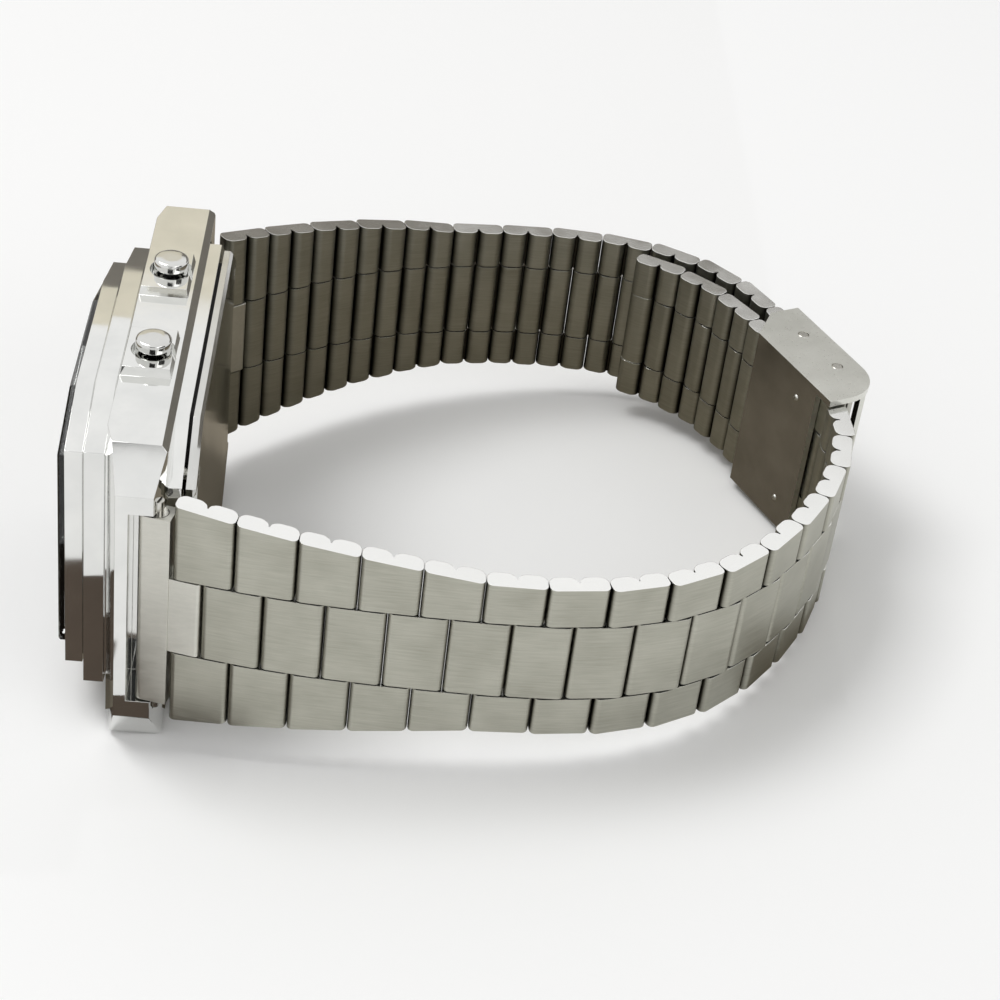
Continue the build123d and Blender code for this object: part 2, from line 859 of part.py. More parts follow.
# Rows of the near half
all_headings = near_headings + [clasp_heading] * clasp_rows + tail_headings
near_planes = walk(near_first_hinge, all_headings, 1)
row_count = len(all_headings) - 1
for number, plane in enumerate(near_planes[:row_count], start=1):
    keep_solids(row_solids(plane, number - 1), f"near_row_{number:02d}")

# Link that ends the tail: two outer links joined by a bar at the free end
tail_plane = near_planes[-1]
tail_half = strap_width_at(row_count) / 2
with BuildPart() as tail_end_link:
    outer_links(tail_plane, 2 * tail_half, 2 * tail_half, pitch)
    with BuildSketch(tail_plane.offset(-column_start)) as bar_outline:
        link_outline(half_pitch + link_gap / 2, half_pitch - link_gap, 1)
    extrude(bar_outline.sketch, amount=2 * column_start)
    bore(tail_plane, hinge_place, tail_half - pin_cover + running_gap, pin_radius + running_gap)
keep(tail_end_link, "tail_end_link")

# Clasp frame: a wrist-side plate folded up into two side walls, joined by a bridge at the near end
clasp_start = -clasp_over
clasp_end = clasp_length - clasp_over


def clasp_side_outline():
    """Rounded outline of a clasp side wall, cut away where the tail comes out."""
    with BuildSketch(mode=Mode.PRIVATE) as wall:
        Polygon(
            (clasp_start, clasp_inner_n),
            (clasp_end - clasp_toe_length, clasp_inner_n),
            (clasp_end, clasp_inner_n + clasp_toe_height),
            (clasp_end, clasp_outer_n),
            (clasp_start, clasp_outer_n),
            align=None,
        )
        near_corners = wall.vertices().group_by(Axis.X)[0].sort_by(Axis.Y)
        far_corners = wall.vertices().group_by(Axis.X)[-1].sort_by(Axis.Y)
        fillet(near_corners[-1], radius=clasp_near_round)
        fillet(near_corners[0], radius=clasp_heel_round)
        fillet(far_corners[-1], radius=clasp_far_round)
    add(wall.sketch)


with BuildPart() as clasp_frame:
    with BuildSketch(clasp_plane.offset(-clasp_half_z)):
        clasp_side_outline()
    extrude(amount=2 * clasp_half_z)
    # Clear the channel between the two walls, above the wrist-side plate
    with BuildSketch(clasp_plane.offset(-clasp_wall_z)):
        with Locations(((clasp_start + clasp_end) / 2, clasp_inner_n + clasp_wall + clasp_depth / 2)):
            Rectangle(clasp_length + clasp_depth, clasp_depth)
        with Locations(((clasp_start + clasp_plate_start) / 2, clasp_inner_n)):
            Rectangle(clasp_plate_start - clasp_start, clasp_depth)
    extrude(amount=2 * clasp_wall_z, mode=Mode.SUBTRACT)
    # Bridge across the near end, over the strap and just clear of the cover's swing
    with BuildSketch(clasp_plane.offset(-clasp_wall_z)):
        with Locations((bridge_s, (bridge_inner_n + bridge_outer_n) / 2)):
            Rectangle(bridge_length, cover_thick)
    extrude(amount=2 * clasp_wall_z)
    # Two small bumps pressed into the wrist-side plate
    with Locations(clasp_plane.offset(-dimple_z), clasp_plane.offset(dimple_z)):
        with Locations((dimple_place, clasp_inner_n + dimple_radius - dimple_height, 0)):
            Sphere(dimple_radius)
    for place in (cover_pin_s, strap_pin_s):
        with BuildSketch(clasp_plane.offset(-clasp_half_z)):
            with Locations((place, clasp_pin_lift)):
                Circle(clasp_pin_radius)
        extrude(amount=2 * clasp_half_z, mode=Mode.SUBTRACT)
keep(clasp_frame, "clasp_frame")


def clasp_pin(place, name):
    """A plain pin through both side walls of the clasp."""
    with BuildPart() as pin:
        with BuildSketch(clasp_plane.offset(-clasp_half_z)):
            with Locations((place, clasp_pin_lift)):
                Circle(clasp_pin_radius)
        extrude(amount=2 * clasp_half_z)
    keep(pin, name)


clasp_pin(cover_pin_s, "cover_pin")
clasp_pin(strap_pin_s, "strap_pin")

# Cover: a lever that pivots near the clasp's middle, with a cam that clamps the strap
cover_half_z = clasp_wall_z - cover_side_gap
cover_end = clasp_end - cover_front_gap
with BuildPart() as clasp_cover:
    with BuildSketch(clasp_plane.offset(-cover_half_z)):
        with Locations(((cover_pin_s - cover_back + cover_end) / 2, (cover_inner_n + cover_outer_n) / 2)):
            Rectangle(cover_end - cover_pin_s + cover_back, cover_thick)
    extrude(amount=2 * cover_half_z)
    for side in (-1, 1):
        low_z = cover_half_z - cover_cam_width if side > 0 else -cover_half_z
        with BuildSketch(clasp_plane.offset(low_z)):
            with Locations((cover_pin_s, clasp_pin_lift)):
                Circle(cover_knuckle)
            with Locations((cover_pin_s, (clasp_pin_lift + cover_inner_n) / 2)):
                Rectangle(2 * cover_back, cover_inner_n - clasp_pin_lift)
            with Locations((cover_pin_s, clasp_pin_lift - cover_cam_reach / 2)):
                Rectangle(2 * cover_cam_half, cover_cam_reach)
            with Locations((cover_pin_s, clasp_pin_lift)):
                Circle(clasp_pin_radius + running_gap, mode=Mode.SUBTRACT)
        extrude(amount=cover_cam_width)
keep(clasp_cover, "clasp_cover")

# Far half: end link and rows to the strap pin
far_start = far_bar + heading_vector(far_headings[0]) * (end_block_length / 2)
far_end_plane = link_plane(far_start, far_headings[0], -1)
end_link(far_end_plane, "far_end_link")
far_first_hinge = far_start + heading_vector(far_headings[0]) * hinge_place
far_planes = walk(far_first_hinge, far_headings[1:], -1)
for number, plane in enumerate(far_planes, start=1):
    last = number == far_rows
    hole = clasp_pin_radius + running_gap if last else pin_radius
    solids = row_solids(plane, number - 1, last_hole=hole, end_pin=not last)
    keep_solids(solids, f"far_row_{number:02d}")

# Stand the watch on the side of its case and the outer corner of its clasp
clasp_reach_x = clasp_plane.from_local_coords(Vector(clasp_near_round - clasp_over, clasp_outer_n)).X
lean = degrees(atan2(wall_half_z - clasp_half_z, clasp_reach_x - wall_back_x))
leaning = Location((0, 0, 0), (0, lean, 0))
whole = Compound(children=[piece.moved(leaning) for piece in pieces])
box = whole.bounding_box()
stand = Location((-box.center().X, -box.center().Y, -box.min.Z)) * leaning

os.makedirs("parts", exist_ok=True)
for piece in pieces:
    label = piece.label
    placed = piece.moved(stand)
    placed.label = label
    export_step(placed, f"parts/{label}.step")
print("lean", round(lean, 3), "far turn", round(far_turn, 2), "first", round(far_first_heading, 2))
print("nodes", len(pieces))
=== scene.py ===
import json
from math import pi, radians

import bmesh
import bpy
from mathutils import Matrix, Vector


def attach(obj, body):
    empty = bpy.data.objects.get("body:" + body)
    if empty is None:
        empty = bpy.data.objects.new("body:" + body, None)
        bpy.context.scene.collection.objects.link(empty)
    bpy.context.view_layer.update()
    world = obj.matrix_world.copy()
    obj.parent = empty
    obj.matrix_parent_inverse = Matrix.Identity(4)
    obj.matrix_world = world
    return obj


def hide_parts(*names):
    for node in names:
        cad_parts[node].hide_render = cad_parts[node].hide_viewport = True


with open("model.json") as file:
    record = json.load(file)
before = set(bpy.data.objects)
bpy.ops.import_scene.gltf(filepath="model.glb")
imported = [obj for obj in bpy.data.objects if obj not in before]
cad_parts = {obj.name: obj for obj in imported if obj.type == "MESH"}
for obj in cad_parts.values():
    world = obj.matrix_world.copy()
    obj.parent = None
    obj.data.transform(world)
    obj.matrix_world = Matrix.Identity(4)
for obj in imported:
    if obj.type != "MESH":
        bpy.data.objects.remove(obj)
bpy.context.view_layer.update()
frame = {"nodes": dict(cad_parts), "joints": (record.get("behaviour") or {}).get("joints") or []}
nodes = frame["nodes"]
joints = {joint["name"]: joint for joint in frame["joints"]}

MM = 0.001

# The watch's own frame: X from dial to case back, Y from 12 to 6 o'clock, Z towards the buttons.
# It leans over a little, because it stands on the case's side and the clasp's corner.
LEAN = radians(6.267)
LEANING = Matrix.Rotation(LEAN, 4, "Y") @ Matrix.Scale(MM, 4)
WATCH = Matrix.Translation((-0.026721, -0.005264, 0.014221)) @ LEANING

# Bracelet, in millimetres: spacing of the rows, half a link's thickness, gap between two links
PITCH = 4.63
LINK_HALF = 0.85
LINK_GAP = 0.04

# Where the outer links start and the middle link ends, from the strap's centre line
COLUMN_START = 3.575
MIDDLE_HALF = 3.475

# The strap's width at the case and at the clasp, and what each row takes off it
CASE_END_WIDTH = 20.6
CLASP_END_WIDTH = 14.1
TAPER = 1.25

# Link pins, and how far their ends stay inside the outer links
PIN_RADIUS = 0.4
PIN_COVER = 0.55

# Rounding of the rolled lobes, the plate's ends, the rims of the side faces and the pins' ends
LOBE_ROUND = 0.8
PLATE_ROUND = 0.5
RIM_ROUND = 0.18
PIN_ROUND = 0.08

# Slit between a link's two lobes, and how near to it the rim of the side face stays sharp
FOLD_GAP = 0.06
FOLD_DEPTH = 0.1
FOLD_CLEAR = 0.35

# An edge that spans this much of the strap's width runs across the strap
LEAST_ACROSS = 1.0

# Painted crease shade: it starts this far below a link's face, is full this much deeper, and has this
# colour
CREASE_START = 0.12
CREASE_DEPTH = 0.4
CREASE_SHADE = (0.05, 0.045, 0.035)

# Map of the brush lines: millimetres in one unit of it, and how far each next link shifts it
MAP_SIZE = 10.0
MAP_SHIFT = Vector((0.37, 0.61))

# Rows of the near half, of which some bend freely and some lie in the clasp, and of the far half
NEAR_ROWS = 20
FREE_NEAR_ROWS = 15
CLASP_ROWS = 3
FAR_ROWS = 13

# Edges of the CAD pieces that turn by more degrees than this are eased
EASED_CORNER = 30.0


# Finishes
def new_finish(name, colour, metallic, roughness):
    """A material with its plain values set on the shader itself."""
    finish = bpy.data.materials.new(name)
    finish.use_nodes = True
    finish.diffuse_color = (*colour, 1.0)
    shader = finish.node_tree.nodes["Principled BSDF"]
    shader.inputs["Base Color"].default_value = (*colour, 1.0)
    shader.inputs["Metallic"].default_value = metallic
    shader.inputs["Roughness"].default_value = roughness
    return finish


def shader_of(finish):
    return finish.node_tree.nodes["Principled BSDF"]


def wire(finish, out, into):
    finish.node_tree.links.new(out, into)


def place_of(finish, spread=(1.0, 1.0, 1.0), turn=(0.0, 0.0, 0.0), along_piece=False):
    """Coordinates on the piece: its own unrolled map, or its place in the model."""
    coords = finish.node_tree.nodes.new("ShaderNodeTexCoord")
    mapping = finish.node_tree.nodes.new("ShaderNodeMapping")
    mapping.inputs["Scale"].default_value = spread
    mapping.inputs["Rotation"].default_value = turn
    wire(finish, coords.outputs["UV" if along_piece else "Object"], mapping.inputs["Vector"])
    return mapping.outputs["Vector"]


def grain(finish, where, scale, detail=3.0, rough=0.55):
    """A cloudy pattern from 0 to 1."""
    noise = finish.node_tree.nodes.new("ShaderNodeTexNoise")
    noise.inputs["Scale"].default_value = scale
    noise.inputs["Detail"].default_value = detail
    noise.inputs["Roughness"].default_value = rough
    wire(finish, where, noise.inputs["Vector"])
    return noise.outputs["Fac"]


def between(finish, factor, low, high, start=0.3, end=0.7):
    """A number that follows a pattern from low to high."""
    span = finish.node_tree.nodes.new("ShaderNodeMapRange")
    span.inputs["From Min"].default_value = start
    span.inputs["From Max"].default_value = end
    span.inputs["To Min"].default_value = low
    span.inputs["To Max"].default_value = high
    wire(finish, factor, span.inputs["Value"])
    return span.outputs["Result"]


def two_tone(finish, factor, dark, light, start=0.3, end=0.7):
    """A colour that follows a pattern from dark to light."""
    ramp = finish.node_tree.nodes.new("ShaderNodeValToRGB")
    ramp.color_ramp.elements[0].position = start
    ramp.color_ramp.elements[0].color = (*dark, 1.0)
    ramp.color_ramp.elements[1].position = end
    ramp.color_ramp.elements[1].color = (*light, 1.0)
    wire(finish, factor, ramp.inputs["Fac"])
    return ramp.outputs["Color"]


def relief(finish, height, strength, distance):
    """Fine relief from a pattern."""
    bump = finish.node_tree.nodes.new("ShaderNodeBump")
    bump.inputs["Strength"].default_value = strength
    bump.inputs["Distance"].default_value = distance
    wire(finish, height, bump.inputs["Height"])
    wire(finish, bump.outputs["Normal"], shader_of(finish).inputs["Normal"])


def mirror_steel(name, dark, light, smooth, smudged):
    """Polished steel with faint smudges and a slight waviness."""
    finish = new_finish(name, light, 1.0, smooth)
    smudge = grain(finish, place_of(finish), 260.0, 4.0)
    wire(finish, two_tone(finish, smudge, dark, light), shader_of(finish).inputs["Base Color"])
    wire(finish, between(finish, smudge, smooth, smudged), shader_of(finish).inputs["Roughness"])
    relief(finish, grain(finish, place_of(finish), 90.0, 1.0), 0.06, 0.0003)
    return finish


def shade_creases(finish, colour, shade_colour):
    """Paint shade into a colour towards the creases marked on the piece."""
    # The crease mark sets how much painted shade covers the colour
    marks = finish.node_tree.nodes.new("ShaderNodeAttribute")
    marks.attribute_name = "crease_shade"
    mix = finish.node_tree.nodes.new("ShaderNodeMix")
    mix.data_type = "RGBA"
    wire(finish, marks.outputs["Fac"], mix.inputs["Factor"])
    wire(finish, colour, mix.inputs[6])
    mix.inputs[7].default_value = (*shade_colour, 1.0)
    return mix.outputs[2]


def brushed_steel(name, dark, light, spread, turn=(0.0, 0.0, 0.0), along_piece=False, rough=(0.3, 0.46)):
    """Steel with fine brush lines one way and broad tone changes."""
    finish = new_finish(name, light, 1.0, rough[0])
    lines = grain(finish, place_of(finish, spread, turn, along_piece), 1.0, 4.0, 0.7)
    cloud_spread = (2.2, 2.2, 2.2) if along_piece else (220.0, 220.0, 220.0)
    cloud = grain(finish, place_of(finish, cloud_spread, turn, along_piece), 1.0, 2.0)
    mix = finish.node_tree.nodes.new("ShaderNodeMix")
    mix.inputs["Factor"].default_value = 0.4
    wire(finish, lines, mix.inputs["A"])
    wire(finish, cloud, mix.inputs["B"])
    tone = two_tone(finish, mix.outputs["Result"], dark, light, 0.35, 0.65)
    # Finishes mapped along a piece get painted shade darkening their creases
    if along_piece:
        tone = shade_creases(finish, tone, CREASE_SHADE)
    wire(finish, tone, shader_of(finish).inputs["Base Color"])
    wire(finish, between(finish, lines, rough[0], rough[1]), shader_of(finish).inputs["Roughness"])
    relief(finish, lines, 0.15, 0.00003)
    return finish


def satin_steel(name, dark, light, rough=(0.26, 0.4)):
    """Steel with a fine even grain."""
    finish = new_finish(name, light, 1.0, rough[0])
    fine = grain(finish, place_of(finish), 5200.0, 3.0)
    cloud = grain(finish, place_of(finish), 240.0, 2.0)
    wire(finish, two_tone(finish, cloud, dark, light), shader_of(finish).inputs["Base Color"])
    wire(finish, between(finish, fine, rough[0], rough[1]), shader_of(finish).inputs["Roughness"])
    relief(finish, fine, 0.12, 0.00003)
    return finish


def moulded(name, dark, light, rough, scale=900.0, bump=0.15):
    """Plastic, rubber or paint with a fine mottle."""
    finish = new_finish(name, light, 0.0, rough)
    fine = grain(finish, place_of(finish), scale, 4.0)
    wire(finish, two_tone(finish, fine, dark, light), shader_of(finish).inputs["Base Color"])
    gloss = between(finish, fine, rough - 0.06, rough + 0.08)
    wire(finish, gloss, shader_of(finish).inputs["Roughness"])
    relief(finish, fine, bump, 0.00004)
    return finish


case_chrome = mirror_steel("case_chrome", (0.74, 0.745, 0.73), (0.83, 0.83, 0.81), 0.03, 0.09)
button_chrome = mirror_steel("button_chrome", (0.62, 0.62, 0.6), (0.72, 0.72, 0.7), 0.05, 0.12)
link_end_polish = mirror_steel("link_end_polish", (0.86, 0.86, 0.84), (0.93, 0.93, 0.91), 0.14, 0.24)
link_brush = brushed_steel(
    "link_brush", (0.36, 0.355, 0.3), (0.5, 0.495, 0.43), (3.0, 70.0, 1.0), along_piece=True
)
end_link_brush = brushed_steel(
    "end_link_brush", (0.6, 0.595, 0.54), (0.7, 0.69, 0.63), (160.0, 3200.0, 3200.0), (0.0, LEAN, 0.0)
)
back_polish = mirror_steel("back_polish", (0.6, 0.6, 0.58), (0.7, 0.7, 0.68), 0.08, 0.18)
# Polished steel darkened far below its own tone: painted shade for the inside of the bracelet's loop
shaded_plate_polish = mirror_steel("shaded_plate_polish", (0.36, 0.345, 0.32), (0.46, 0.445, 0.42), 0.1, 0.2)
clasp_satin = satin_steel("clasp_satin", (0.66, 0.66, 0.61), (0.76, 0.76, 0.71))
cover_brush = brushed_steel(
    "cover_brush", (0.42, 0.415, 0.38), (0.6, 0.59, 0.54), (2600.0, 2600.0, 130.0), (0.0, LEAN, 0.0)
)
pin_steel = satin_steel("pin_steel", (0.5, 0.49, 0.45), (0.66, 0.65, 0.61), (0.16, 0.28))
spring_strip = satin_steel("spring_strip", (0.52, 0.51, 0.48), (0.64, 0.63, 0.6), (0.22, 0.34))
cell_steel = brushed_steel(
    "cell_steel", (0.55, 0.55, 0.54), (0.7, 0.7, 0.68), (900.0, 2600.0, 2600.0), (0.0, LEAN, 0.0)
)
sounder_brass = satin_steel("sounder_brass", (0.6, 0.45, 0.2), (0.74, 0.58, 0.3), (0.24, 0.38))
mask_print = moulded("mask_print", (0.012, 0.014, 0.022), (0.022, 0.025, 0.038), 0.22, 500.0, 0.04)
mask_line_print = moulded("mask_line_print", (0.5, 0.52, 0.5), (0.62, 0.64, 0.62), 0.4, 1400.0, 0.04)
segment_black = moulded("segment_black", (0.02, 0.022, 0.02), (0.035, 0.037, 0.035), 0.25, 800.0, 0.02)
film_white = moulded("film_white", (0.7, 0.78, 0.74), (0.8, 0.88, 0.84), 0.5)
module_black = moulded("module_black", (0.075, 0.075, 0.082), (0.11, 0.11, 0.12), 0.48)
seal_black = moulded("seal_black", (0.025, 0.025, 0.025), (0.045, 0.045, 0.045), 0.72, 1200.0, 0.2)
strip_pale = moulded("strip_pale", (0.62, 0.58, 0.52), (0.76, 0.73, 0.67), 0.6)


def green_board():
    """Circuit board lacquer over faint copper tracks."""
    finish = new_finish("board_lacquer", (0.04, 0.2, 0.1), 0.0, 0.32)
    tracks = finish.node_tree.nodes.new("ShaderNodeTexBrick")
    tracks.inputs["Scale"].default_value = 420.0
    tracks.inputs["Mortar Size"].default_value = 0.03
    tracks.inputs["Color1"].default_value = (0.03, 0.17, 0.08, 1.0)
    tracks.inputs["Color2"].default_value = (0.04, 0.21, 0.1, 1.0)
    tracks.inputs["Mortar"].default_value = (0.1, 0.32, 0.15, 1.0)
    wire(finish, place_of(finish, turn=(0.0, radians(90.0), 0.0)), tracks.inputs["Vector"])
    wire(finish, tracks.outputs["Color"], shader_of(finish).inputs["Base Color"])
    relief(finish, grain(finish, place_of(finish), 800.0), 0.1, 0.00003)
    return finish


def clear_crystal():
    """Clear mineral glass with a trace of dust."""
    finish = new_finish("clear_crystal", (0.97, 0.98, 0.98), 0.0, 0.0)
    shader = shader_of(finish)
    shader.inputs["Transmission Weight"].default_value = 1.0
    shader.inputs["IOR"].default_value = 1.5
    dust = grain(finish, place_of(finish), 700.0, 5.0)
    wire(finish, between(finish, dust, 0.0, 0.03, 0.5, 0.8), shader.inputs["Roughness"])
    return finish


def display_glass():
    """Grey-green liquid crystal with a faint vertical shimmer."""
    finish = new_finish("display_glass", (0.42, 0.46, 0.37), 0.0, 0.2)
    shader = shader_of(finish)
    shader.inputs["Coat Weight"].default_value = 0.5
    shimmer = grain(finish, place_of(finish, (200.0, 200.0, 2400.0), (0.0, LEAN, 0.0)), 1.0, 2.0)
    tone = two_tone(finish, shimmer, (0.38, 0.42, 0.34), (0.46, 0.5, 0.4))
    wire(finish, tone, shader.inputs["Base Color"])
    relief(finish, shimmer, 0.05, 0.00003)
    return finish


board_lacquer = green_board()
crystal_clear = clear_crystal()
lcd_finish = display_glass()


# Making pieces
def make_piece(name, bm, finishes, body, replaced, place=None, smooth_below=34.0):
    """Turn a mesh into a finished piece that rides on its body and stands for its CAD nodes."""
    if place is not None:
        bmesh.ops.transform(bm, matrix=place, verts=bm.verts)
    bmesh.ops.recalc_face_normals(bm, faces=bm.faces)
    mesh = bpy.data.meshes.new(name)
    bm.to_mesh(mesh)
    bm.free()
    piece = bpy.data.objects.new(name, mesh)
    bpy.context.scene.collection.objects.link(piece)
    for finish in finishes:
        mesh.materials.append(finish)
    mesh.shade_smooth()
    mesh.set_sharp_from_angle(angle=radians(smooth_below))
    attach(piece, body)
    if replaced:
        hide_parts(*replaced)
    return piece


def even_shading(piece):
    """Keep big faces flat and let only the small rounded edges shade round."""
    weighted = piece.modifiers.new("even_shading", "WEIGHTED_NORMAL")
    weighted.keep_sharp = True


def ease_edges(piece, width, steps):
    """Round every sharp edge by a small radius."""
    rounding = piece.modifiers.new("eased_edges", "BEVEL")
    rounding.width = width * MM
    rounding.segments = steps
    rounding.limit_method = "ANGLE"
    rounding.angle_limit = radians(EASED_CORNER)
    rounding.use_clamp_overlap = True
    even_shading(piece)


def dressed_copy(node, name, finishes, body, width, steps, pick=None):
    """A copy of a CAD piece with its edges eased. pick gives each face the number of its finish."""
    bm = bmesh.new()
    bm.from_mesh(nodes[node].data)
    for layer in list(bm.loops.layers.uv):
        bm.loops.layers.uv.remove(layer)
    bmesh.ops.remove_doubles(bm, verts=bm.verts, dist=0.002 * MM)
    bmesh.ops.dissolve_limit(bm, angle_limit=radians(0.4), verts=bm.verts, edges=bm.edges)
    bm.normal_update()
    for face in bm.faces:
        face.material_index = pick(face) if pick else 0
    piece = make_piece(name, bm, finishes, body, [node])
    ease_edges(piece, width, steps)


def repaint(node, finish):
    """Give a CAD piece that keeps its shape a better finish."""
    piece = nodes[node]
    piece.data.materials.clear()
    piece.data.materials.append(finish)


# Bracelet links
def strap_width(boundary):
    """Width of the bracelet at the start of a row, counted from the case."""
    return max(CLASP_END_WIDTH, CASE_END_WIDTH - TAPER * boundary)


def round_edges(bm, edges, radius, steps):
    """Round some edges, stopping where two roundings would meet."""
    bmesh.ops.bevel(
        bm,
        geom=edges,
        offset=radius,
        segments=steps,
        profile=0.5,
        affect="EDGES",
        material=-1,
        clamp_overlap=True,
    )


def folded_link(bm, start, length, inner, outer_start, outer_end, lobes, number):
    """One folded link: a flat plate whose ends roll over into lobes on the wrist side.

    inner, outer_start and outer_end are places along the strap's width, where the outer edge may
    taper along the link. number shifts the brush lines, so that no two links look alike.
    """
    first = start + LINK_GAP / 2
    last = start + length - LINK_GAP / 2
    middle = (first + last) / 2
    outline = [(first, LINK_HALF), (last, LINK_HALF), (last, -LINK_HALF)]
    if lobes == 2:
        outline += [
            (middle + FOLD_GAP, -LINK_HALF),
            (middle + FOLD_GAP, -FOLD_DEPTH),
            (middle - FOLD_GAP, -FOLD_DEPTH),
            (middle - FOLD_GAP, -LINK_HALF),
        ]
    outline.append((first, -LINK_HALF))
    # Faces of the links and pins made before are marked, so that only this link's are worked on
    made = bm.faces.layers.int.get("made") or bm.faces.layers.int.new("made")
    corners = [bm.verts.new((along, out, inner)) for along, out in outline]
    side_face = bm.faces.new(corners)
    grown = bmesh.ops.extrude_face_region(bm, geom=[side_face])
    for vert in [item for item in grown["geom"] if isinstance(item, bmesh.types.BMVert)]:
        share = vert.co.x / PITCH
        vert.co.z = outer_start + (outer_end - outer_start) * share
    fresh = [face for face in bm.faces if not face[made]]
    edges = {edge for face in fresh for edge in face.edges}
    across = [edge for edge in edges if abs(edge.verts[0].co.z - edge.verts[1].co.z) > LEAST_ACROSS]
    plate_ends = [edge for edge in across if edge.verts[0].co.y > 0.0]
    lobe_edges = [edge for edge in across if edge.verts[0].co.y < -LINK_HALF / 2]
    round_edges(bm, lobe_edges, LOBE_ROUND, 6)
    round_edges(bm, plate_ends, PLATE_ROUND, 5)
    # Only the two side faces have more than eight corners
    side_faces = [face for face in bm.faces if not face[made] and len(face.verts) > 8]
    rims = set()
    for face in side_faces:
        for edge in face.edges:
            spot = (edge.verts[0].co + edge.verts[1].co) / 2
            if lobes == 1 or spot.y > 0.0 or abs(spot.x - middle) > FOLD_CLEAR:
                rims.add(edge)
    round_edges(bm, list(rims), RIM_ROUND, 2)
    bm.normal_update()
    # Each corner's share of painted crease shade, larger the deeper it lies below the link's faces
    crease_shade = bm.verts.layers.float.get("crease_shade") or bm.verts.layers.float.new("crease_shade")
    uv = bm.loops.layers.uv.verify()
    shift = MAP_SHIFT * number
    for face in bm.faces:
        if face[made]:
            continue
        # Faces towards the strap's sides take the polish, the others the brush lines
        face.material_index = 1 if abs(face.normal.z) > 0.6 else 0
        for loop in face.loops:
            spot = loop.vert.co
            loop[uv].uv = Vector((spot.x, spot.z)) / MAP_SIZE + shift
            depth = LINK_HALF - abs(spot.y) - CREASE_START
            loop.vert[crease_shade] = min(max(depth / CREASE_DEPTH, 0.0), 1.0)
        face[made] = 1


def link_pin(bm, along, half_width):
    """A pin with softened ends, across the bracelet."""
    pin = bmesh.ops.create_cone(
        bm,
        cap_ends=True,
        segments=20,
        radius1=PIN_RADIUS,
        radius2=PIN_RADIUS,
        depth=2 * half_width,
        matrix=Matrix.Translation((along, 0.0, 0.0)),
    )
    edges = {edge for vert in pin["verts"] for edge in vert.link_edges}
    rims = [edge for edge in edges if abs(edge.verts[0].co.z - edge.verts[1].co.z) < LEAST_ACROSS]
    round_edges(bm, rims, PIN_ROUND, 2)
    made = bm.faces.layers.int["made"]
    for face in bm.faces:
        if not face[made]:
            face.material_index = 1
            face[made] = 1


def row_mesh(boundary, middle=True, end_pin=True):
    """The links and pins of one row, drawn along the strap, outward, and across.

    The middle link lies half a pitch further on. One pin joins it to the outer links beside it, and
    one to those of the next row.
    """
    bm = bmesh.new()
    wide = strap_width(boundary) / 2
    narrow = strap_width(boundary + 1) / 2
    number = 3 * boundary
    folded_link(bm, 0.0, PITCH, COLUMN_START, wide, narrow, 2, number)
    folded_link(bm, 0.0, PITCH, -COLUMN_START, -wide, -narrow, 2, number + 1)
    link_pin(bm, 0.75 * PITCH, narrow - PIN_COVER)
    if middle:
        folded_link(bm, PITCH / 2, PITCH, -MIDDLE_HALF, MIDDLE_HALF, MIDDLE_HALF, 2, number + 2)
    if middle and end_pin:
        link_pin(bm, 1.25 * PITCH, strap_width(boundary + 2) / 2 - PIN_COVER)
    return bm


def strap_place(origin, along, across):
    """Where a row sits: along the strap, outward from the wrist, and across."""
    outward = across.cross(along).normalized()
    basis = Matrix((along, outward, across)).transposed().to_4x4()
    return Matrix.Translation(origin) @ basis @ Matrix.Scale(MM, 4)


def hinge_of(name):
    return Vector(joints[name]["pos_m"])


def row_places(hinge_names, last_turn):
    """Places of rows that each start a quarter pitch before their own hinge."""
    across = Vector(joints[hinge_names[0]]["axis"]).normalized()
    hinges = [hinge_of(name) for name in hinge_names]
    headings = [(after - before).normalized() for before, after in zip(hinges, hinges[1:])]
    headings.append(Matrix.Rotation(last_turn, 3, across) @ headings[-1])
    places = []
    for hinge, along in zip(hinges, headings):
        places.append(strap_place(hinge - along * PITCH / 4 * MM, along, across))
    return places


def turn_back(joint_name):
    """A row lies turned back from the row before it by its joint's whole range."""
    return -radians(joints[joint_name]["range_deg"][1])


def finish_row(name, mesh, body, place):
    """Put a row's links in place, brushed along the strap with polished side faces."""
    finishes = [link_brush, link_end_polish]
    links = make_piece(f"{name}_links", mesh, finishes, body, [name], place)
    even_shading(links)


near_hinges = [f"near_bend_{number:02d}" for number in range(1, FREE_NEAR_ROWS + 1)] + ["clasp_bend"]
near_places = row_places(near_hinges, turn_back("clasp_bend"))
clasp_place = near_places.pop()
for number, place in enumerate(near_places, start=1):
    row = f"near_row_{number:02d}"
    finish_row(row, row_mesh(number - 1), row, place)

# Rows inside the clasp follow one another in a straight line
for step in range(CLASP_ROWS):
    number = FREE_NEAR_ROWS + 1 + step
    place = clasp_place @ Matrix.Translation((PITCH * step, 0.0, 0.0))
    finish_row(f"near_row_{number:02d}", row_mesh(number - 1), "clasp", place)

# The loose tail beyond the clasp
tail_hinges = ["near_bend_19", "near_bend_20", "tail_end_bend"]
tail_places = row_places(tail_hinges, turn_back("tail_end_bend"))
for number, place in zip((NEAR_ROWS - 1, NEAR_ROWS), tail_places):
    row = f"near_row_{number:02d}"
    finish_row(row, row_mesh(number - 1), row, place)
end_mesh = row_mesh(NEAR_ROWS, middle=False)
end_number = 3 * NEAR_ROWS + 2
folded_link(end_mesh, PITCH / 2, PITCH / 2, -COLUMN_START, COLUMN_START, COLUMN_START, 1, end_number)
finish_row("tail_end_link", end_mesh, "tail_end_link", tail_places[2])

far_hinges = [f"far_bend_{number:02d}" for number in range(1, FAR_ROWS + 1)]
far_places = row_places(far_hinges, turn_back(far_hinges[-1]))
for number, place in enumerate(far_places, start=1):
    row = f"far_row_{number:02d}"
    finish_row(row, row_mesh(number - 1, end_pin=number < FAR_ROWS), row, place)

